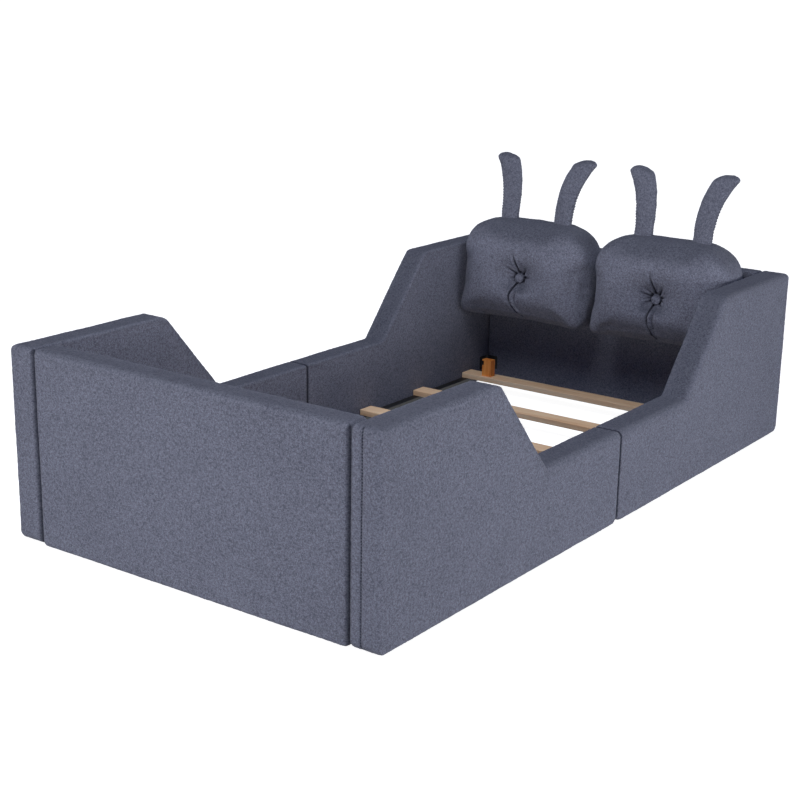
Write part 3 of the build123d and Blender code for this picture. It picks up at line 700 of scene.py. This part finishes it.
take_up(pad)
settled = pad.modifiers.new("settled", "SMOOTH")
settled.factor = 0.5
settled.iterations = 8
bpy.ops.object.modifier_apply(modifier="settled")
finer = pad.modifiers.new("finer", "SUBSURF")
finer.levels = finer.render_levels = 1
bpy.ops.object.modifier_apply(modifier="finer")

# The cloth near the button is netted finer, for its pleats: in front of a plane, this far aside,
# below and above.
FIELD_Y = 0.86
FIELD_ASIDE = 0.085
FIELD_BELOW = 0.17
FIELD_ABOVE = 0.09


def in_field(p):
    """Whether a point of the cushion lies in the field of the pleats."""
    return p.y < FIELD_Y and abs(p.x) < FIELD_ASIDE and -FIELD_BELOW < p.z - TUFT_Z < FIELD_ABOVE


bpy.ops.object.mode_set(mode="EDIT")
pick("FACE", in_field)
bpy.ops.mesh.subdivide(number_cuts=1)
bpy.ops.object.mode_set(mode="OBJECT")

# Pleats are stitched in after the filling: one straight up and a fan of short ones round the
# button. Each has its angle in degrees, its length and its depth.
PLEATS = {
    "left": (
        (101, 0.104, 0.012),
        (46, 0.060, 0.009),
        (76, 0.040, 0.007),
        (142, 0.068, 0.009),
        (163, 0.048, 0.007),
        (186, 0.048, 0.008),
        (214, 0.040, 0.007),
        (2, 0.052, 0.008),
        (-24, 0.036, 0.007),
        (-42, 0.046, 0.008),
    ),
    "right": (
        (99, 0.100, 0.012),
        (52, 0.064, 0.009),
        (78, 0.040, 0.007),
        (134, 0.050, 0.008),
        (158, 0.062, 0.009),
        (182, 0.044, 0.007),
        (206, 0.054, 0.008),
        (10, 0.044, 0.008),
        (-18, 0.046, 0.008),
        (-44, 0.058, 0.009),
    ),
}
PLEAT_FRONT = 0.90
PLEAT_START = 0.010
PLEAT_WIDE = 0.0026
# The long fold below the button: how far it bows aside, where it ends, and the rise of the hem.
LONG_FOLDS = {"left": (-0.023, 0.004, 0.014), "right": (-0.013, 0.002, 0.016)}
FOLD_FALL = 0.150
FOLD_STOP = 0.162
FOLD_FADE = 0.016
# Its furrow, the roll beside it and the furrow past that: distance aside, half width and depth.
FURROW = (0.0, 0.0032, 0.012)
ROLL = (0.0085, 0.006, -0.007)
SECOND_FURROW = (0.019, 0.0032, 0.006)
# The ring pressed in round the button, and the seam round the back: place, half width and depth.
BUTTON_RING = (0.0185, 0.0042, 0.006)
BACK_SEAM = (CUSHION_BACK - 0.020, 0.0035, 0.0022)
HEM_RISE = 0.006
HEM_REACH = 0.16


def pinched(aside, wide):
    """A narrow dip with its two edges raised a little."""
    return bell(aside, wide) - 0.3 * bell(np.abs(aside) - 2.4 * wide, wide)


def pressed(distance, line):
    """How deep a line lies at a distance, from its own place, half width and depth."""
    place, wide, depth = line
    return depth * bell(distance - place, wide)


def stitched(piece, pleats, bow, end, arch):
    """Draws the pleats, the long fold, the button's ring and the back seam into a cushion, and marks
    painted shade where the cloth sinks.
    """
    places = points_of(piece)
    facing = facing_of(piece)
    side = places[:, 0]
    up = places[:, 2] - TUFT_Z
    front = eased((PLEAT_FRONT - places[:, 1]) / 0.03) * eased(-facing[:, 1] / 0.3)
    sunk = pressed(np.hypot(side, up), BUTTON_RING)
    for angle, length, depth in pleats:
        turn = math.radians(angle)
        ahead = side * math.cos(turn) + up * math.sin(turn)
        aside = -side * math.sin(turn) + up * math.cos(turn) - 0.05 * ahead**2 / length
        wide = PLEAT_WIDE + 0.2 * depth * (ahead / length).clip(0, 1)
        run = eased((ahead - PLEAT_START) / 0.010) * eased((length - ahead) / (0.75 * length))
        sunk += depth * run * pinched(aside, wide)
    fall = (-up / FOLD_FALL).clip(0, 1)
    belly = np.sin(math.pi * fall).clip(0, 1)
    aside = side - bow * np.sin(math.pi * fall**1.1) - end * fall**2
    run = eased((-up - PLEAT_START) / FOLD_FADE) * eased((FOLD_STOP + up) / FOLD_FADE)
    sunk += run * pressed(aside, FURROW)
    sunk += run * belly * pressed(aside, ROLL)
    sunk += run * belly**2 * pressed(aside, SECOND_FURROW)
    sunk *= front
    places[:, 1] += sunk
    low = eased((cushion_middle - places[:, 2]) / HEM_REACH)
    places[:, 2] += low * (HEM_RISE + arch * (1 - (side / (CUSHION_WIDE / 2)) ** 2).clip(0, 1))
    seam = pressed(places[:, 1], BACK_SEAM) * (1 - np.abs(facing[:, 1]))
    places -= facing * seam[:, None]
    set_points(piece, places)
    # Painted shade: the cloth is darkened where it sinks into the pleats, the long fold and the
    # button's ring.
    painted_crease_shade = piece.data.attributes.new("painted_crease_shade", "FLOAT", "POINT")
    crease_shade_share = 0.85 * eased((sunk - 0.001) / 0.008)
    painted_crease_shade.data.foreach_set("value", crease_shade_share.astype(np.float32))


for side_name, middle in CUSHIONS.items():
    cushion = pad.copy()
    cushion.data = pad.data.copy()
    cushion.name = f"{side_name}_plump_cushion"
    bpy.context.scene.collection.objects.link(cushion)
    stitched(cushion, PLEATS[side_name], *LONG_FOLDS[side_name])
    cushion.data.transform(Matrix.Translation((middle, 0, 0)))
    ruffle(cushion, f"{side_name}_cushion_ease", *CUSHION_LUMPS)
    ruffle(cushion, f"{side_name}_cushion_pile", *CUSHION_PILE)
    places = points_of(cushion)
    places[:, 1] = np.minimum(places[:, 1], CUSHION_BACK)
    set_points(cushion, places)
    cushion.data.materials.append(teddy_fleece)
    smooth_and_shade_tops(cushion)
    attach(cushion, f"{side_name}_cushion_unit")
    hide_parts(f"{side_name}_cushion")
bpy.data.objects.remove(pad)

# Buttons of the cushions.
# A domed shell button covered in the same fleece, pulled in tight by twine through the filling.
BUTTON_RADIUS = 0.0155
BUTTON_DOME = 0.45
BUTTON_PILE = (0.005, 0.0014)
for side_name in CUSHIONS:
    low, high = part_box(f"{side_name}_button")
    heart = (low + high) / 2
    bpy.ops.object.select_all(action="DESELECT")
    bpy.ops.mesh.primitive_uv_sphere_add(
        segments=40, ring_count=20, radius=BUTTON_RADIUS, location=heart
    )
    button = bpy.context.object
    button.name = f"{side_name}_fleece_button"
    bpy.ops.object.transform_apply(location=True, rotation=True, scale=True)
    bpy.ops.object.mode_set(mode="EDIT")
    bpy.ops.mesh.select_all(action="SELECT")
    bpy.ops.transform.resize(value=(1, BUTTON_DOME, 1), center_override=heart)
    bpy.ops.mesh.subdivide(number_cuts=1, smoothness=1.0)
    bpy.ops.object.mode_set(mode="OBJECT")
    ruffle(button, f"{side_name}_button_pile", *BUTTON_PILE)
    button.data.materials.append(teddy_fleece)
    smooth_and_shade_tops(button)
    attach(button, f"{side_name}_cushion_unit")
    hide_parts(f"{side_name}_button")

# Ears of the cushions.
# Flat tubes of fleece, lightly stuffed, sewn into the top seam; they widen upwards, bend out and
# back, and pucker along their seams.
EAR_APART = 0.102
EAR_ROOT_Y = 0.8973
EAR_ROOT_Z = 0.591
EAR_TALL = 0.227
EAR_OUT = 0.057
EAR_BACK = 0.060
EAR_WIDE = 0.062
EAR_WIDENS = 0.027
EAR_THICK = 0.027
EAR_THINS = 0.006
EAR_RINGS = 26
EAR_GRID = 0.0026
EAR_LUMPS = (0.03, 0.003)
EAR_PILE = (0.006, 0.0014)
# The least painted shade over each ear, which darkens the whole ear.
EAR_LEAST_SHADE = 0.45
# The round of the ear's end, half its width there, and how tall that end is.
CROWN_RADIUS = 0.063
CROWN_HALF = 0.042
CROWN_TALL = 0.016
PUCKER_DEEP = 0.0014
PUCKER_PITCH = 0.0095
for side_name, middle in CUSHIONS.items():
    for way in (-1, 1):
        outer = (way < 0) == (side_name == "left")
        node = f"{side_name}_{'outer' if outer else 'inner'}_ear"
        bpy.ops.object.select_all(action="DESELECT")
        bpy.ops.mesh.primitive_cylinder_add(vertices=40, radius=0.5, depth=1, location=(0, 0, 0.5))
        ear = bpy.context.object
        ear.name = f"{node}_stuffed"
        bpy.ops.object.transform_apply(location=True, rotation=True, scale=True)
        bpy.ops.object.mode_set(mode="EDIT")
        for step in range(1, EAR_RINGS):
            ring = (0, 0, 1 - (1 - step / EAR_RINGS) ** 1.7)
            bpy.ops.mesh.select_all(action="SELECT")
            bpy.ops.mesh.bisect(plane_co=ring, plane_no=(0, 0, 1))
        bpy.ops.object.mode_set(mode="OBJECT")
        places = points_of(ear)
        share = places[:, 2].clip(0, 1)
        wide = EAR_WIDE + EAR_WIDENS * share**1.8
        thick = EAR_THICK - EAR_THINS * share
        below = (1 - share) * EAR_TALL
        tip = np.sqrt((2 * CROWN_RADIUS * below - below**2).clip(0, None)) / CROWN_HALF
        tip = np.where(below < CROWN_TALL, tip, 1).clip(0.08, 1)
        squared = np.sign(places[:, :2]) * np.abs(2 * places[:, :2]) ** 0.62 / 2
        bent = np.stack([way * EAR_OUT * share**3.1, EAR_BACK * share**1.55, EAR_TALL * share], 1)
        bent[:, 0] += squared[:, 0] * wide * tip
        bent[:, 1] += squared[:, 1] * thick * (0.35 + 0.65 * tip)
        set_points(ear, np.array([middle + way * EAR_APART, EAR_ROOT_Y, EAR_ROOT_Z]) + bent)
        even_net(ear, EAR_GRID)
        places = points_of(ear)
        facing = facing_of(ear)
        share = ((places[:, 2] - EAR_ROOT_Z) / EAR_TALL).clip(0, 1)
        gathered = eased(way * facing[:, 0] / 0.8) + 0.4 * eased(-way * facing[:, 0] / 0.8)
        pucker = np.sin((places[:, 2] + 0.3 * places[:, 1]) / PUCKER_PITCH * 2 * math.pi)
        rows = gathered * bell(share - 0.35, 0.24)
        places += facing * (PUCKER_DEEP * rows * pucker)[:, None]
        set_points(ear, places)
        ruffle(ear, f"{node}_ease", *EAR_LUMPS)
        ruffle(ear, f"{node}_pile", *EAR_PILE)
        ear.data.materials.append(teddy_fleece)
        smooth_and_shade_tops(ear, EAR_LEAST_SHADE)
        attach(ear, f"{side_name}_cushion_unit")
        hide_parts(node)

# Floor, light and camera, none of them part of the bed.
# A pale seamless floor, a soft sky that is brightest near the horizon, and four soft lamps.
bpy.ops.object.select_all(action="DESELECT")
bpy.ops.mesh.primitive_plane_add(size=400, location=(0, 0, 0))
studio_floor = bpy.context.object
studio_floor.name = "studio_floor"
studio_floor.visible_diffuse = False
pale_floor, shader, place = new_finish("pale_floor", 0.9)
mottle = cloudy(pale_floor, place, 3.0, 2.0)
colour = shaded(pale_floor, mottle, ((0.3, (0.52, 0.52, 0.53, 1)), (0.7, (0.55, 0.55, 0.56, 1))))
coat(pale_floor, shader, colour, mottle, 0.05, 0.0005)
shader.inputs["Specular IOR Level"].default_value = 0.0
shader.inputs["Emission Color"].default_value = (1, 1, 1, 1)
shader.inputs["Emission Strength"].default_value = 0.95
studio_floor.data.materials.append(pale_floor)

# The sky's bands, from straight down at 0 through the horizon at 0.5 to straight up at 1.
DARK = (0.0, 0.001, 0.004, 1)
PALE = (0.64, 0.64, 0.64, 1)
DUSK = (0.001, 0.003, 0.016, 1)
HIGH = (0.12, 0.13, 0.14, 1)
sky = bpy.data.worlds.new("studio_sky")
bpy.context.scene.world = sky
sky.use_nodes = True
around = joined(sky, "ShaderNodeTexCoord", {}).outputs["Generated"]
parts = joined(sky, "ShaderNodeSeparateXYZ", {0: around}).outputs
rise = joined(sky, "ShaderNodeMapRange", {"Value": parts["Z"], "From Min": -1.0}).outputs["Result"]
stops = (
    (0.0, DARK),
    (0.495, DARK),
    (0.5, PALE),
    (0.53, PALE),
    (0.56, DUSK),
    (0.9, DUSK),
    (0.94, HIGH),
    (1.0, HIGH),
)
glow = sky.node_tree.nodes["Background"]
glow.inputs["Strength"].default_value = 6.4
sky.node_tree.links.new(shaded(sky, rise, stops), glow.inputs["Color"])

# Name, watts, width and place of each lamp; all face the middle of the bed.
LAMPS = (
    ("far_softbox", 8, 3.0, (6.56, -1.6, 2.1)),
    ("side_softbox", 56, 2.4, (3.3, -0.2, 0.25)),
    ("front_softbox", 16, 1.7, (-0.15, -2.7, 0.28)),
    ("high_softbox", 50, 1.6, (0.4, -1.5, 3.4)),
)
LAMP_AIM = (0, 0, 0.3)
for name, watts, wide, spot in LAMPS:
    lamp = bpy.data.lights.new(name, "AREA")
    lamp.shape = "DISK"
    lamp.size = wide
    lamp.energy = watts
    softbox = bpy.data.objects.new(name, lamp)
    bpy.context.scene.collection.objects.link(softbox)
    softbox.location = spot
    softbox.rotation_mode = "QUATERNION"
    towards = Vector(LAMP_AIM) - softbox.location
    softbox.rotation_quaternion = towards.to_track_quat("-Z", "Y")

# The camera's azimuth, elevation and roll in degrees, its place, and its lens.
CAMERA_ANGLES = (35.962, 16.261, 0.928)
CAMERA_PLACE = (2.4182, -3.5367, 1.4849)
CAMERA_LENS = 70.34
azimuth, elevation, roll = (math.radians(angle) for angle in CAMERA_ANGLES)
back = Vector((
    math.sin(azimuth) * math.cos(elevation),
    -math.cos(azimuth) * math.cos(elevation),
    math.sin(elevation),
))
level = Vector((math.cos(azimuth), math.sin(azimuth), 0))
upright = back.cross(level)
right = level * math.cos(roll) + upright * math.sin(roll)
upward = upright * math.cos(roll) - level * math.sin(roll)
camera = bpy.data.objects.new("photo_camera", bpy.data.cameras.new("photo_camera"))
bpy.context.scene.collection.objects.link(camera)
camera.data.sensor_width = 36
camera.data.lens = CAMERA_LENS
turned = Matrix((right, upward, back)).transposed().to_4x4()
camera.matrix_world = Matrix.Translation(CAMERA_PLACE) @ turned
bpy.context.scene.camera = camera
bpy.context.scene.view_settings.view_transform = "Standard"
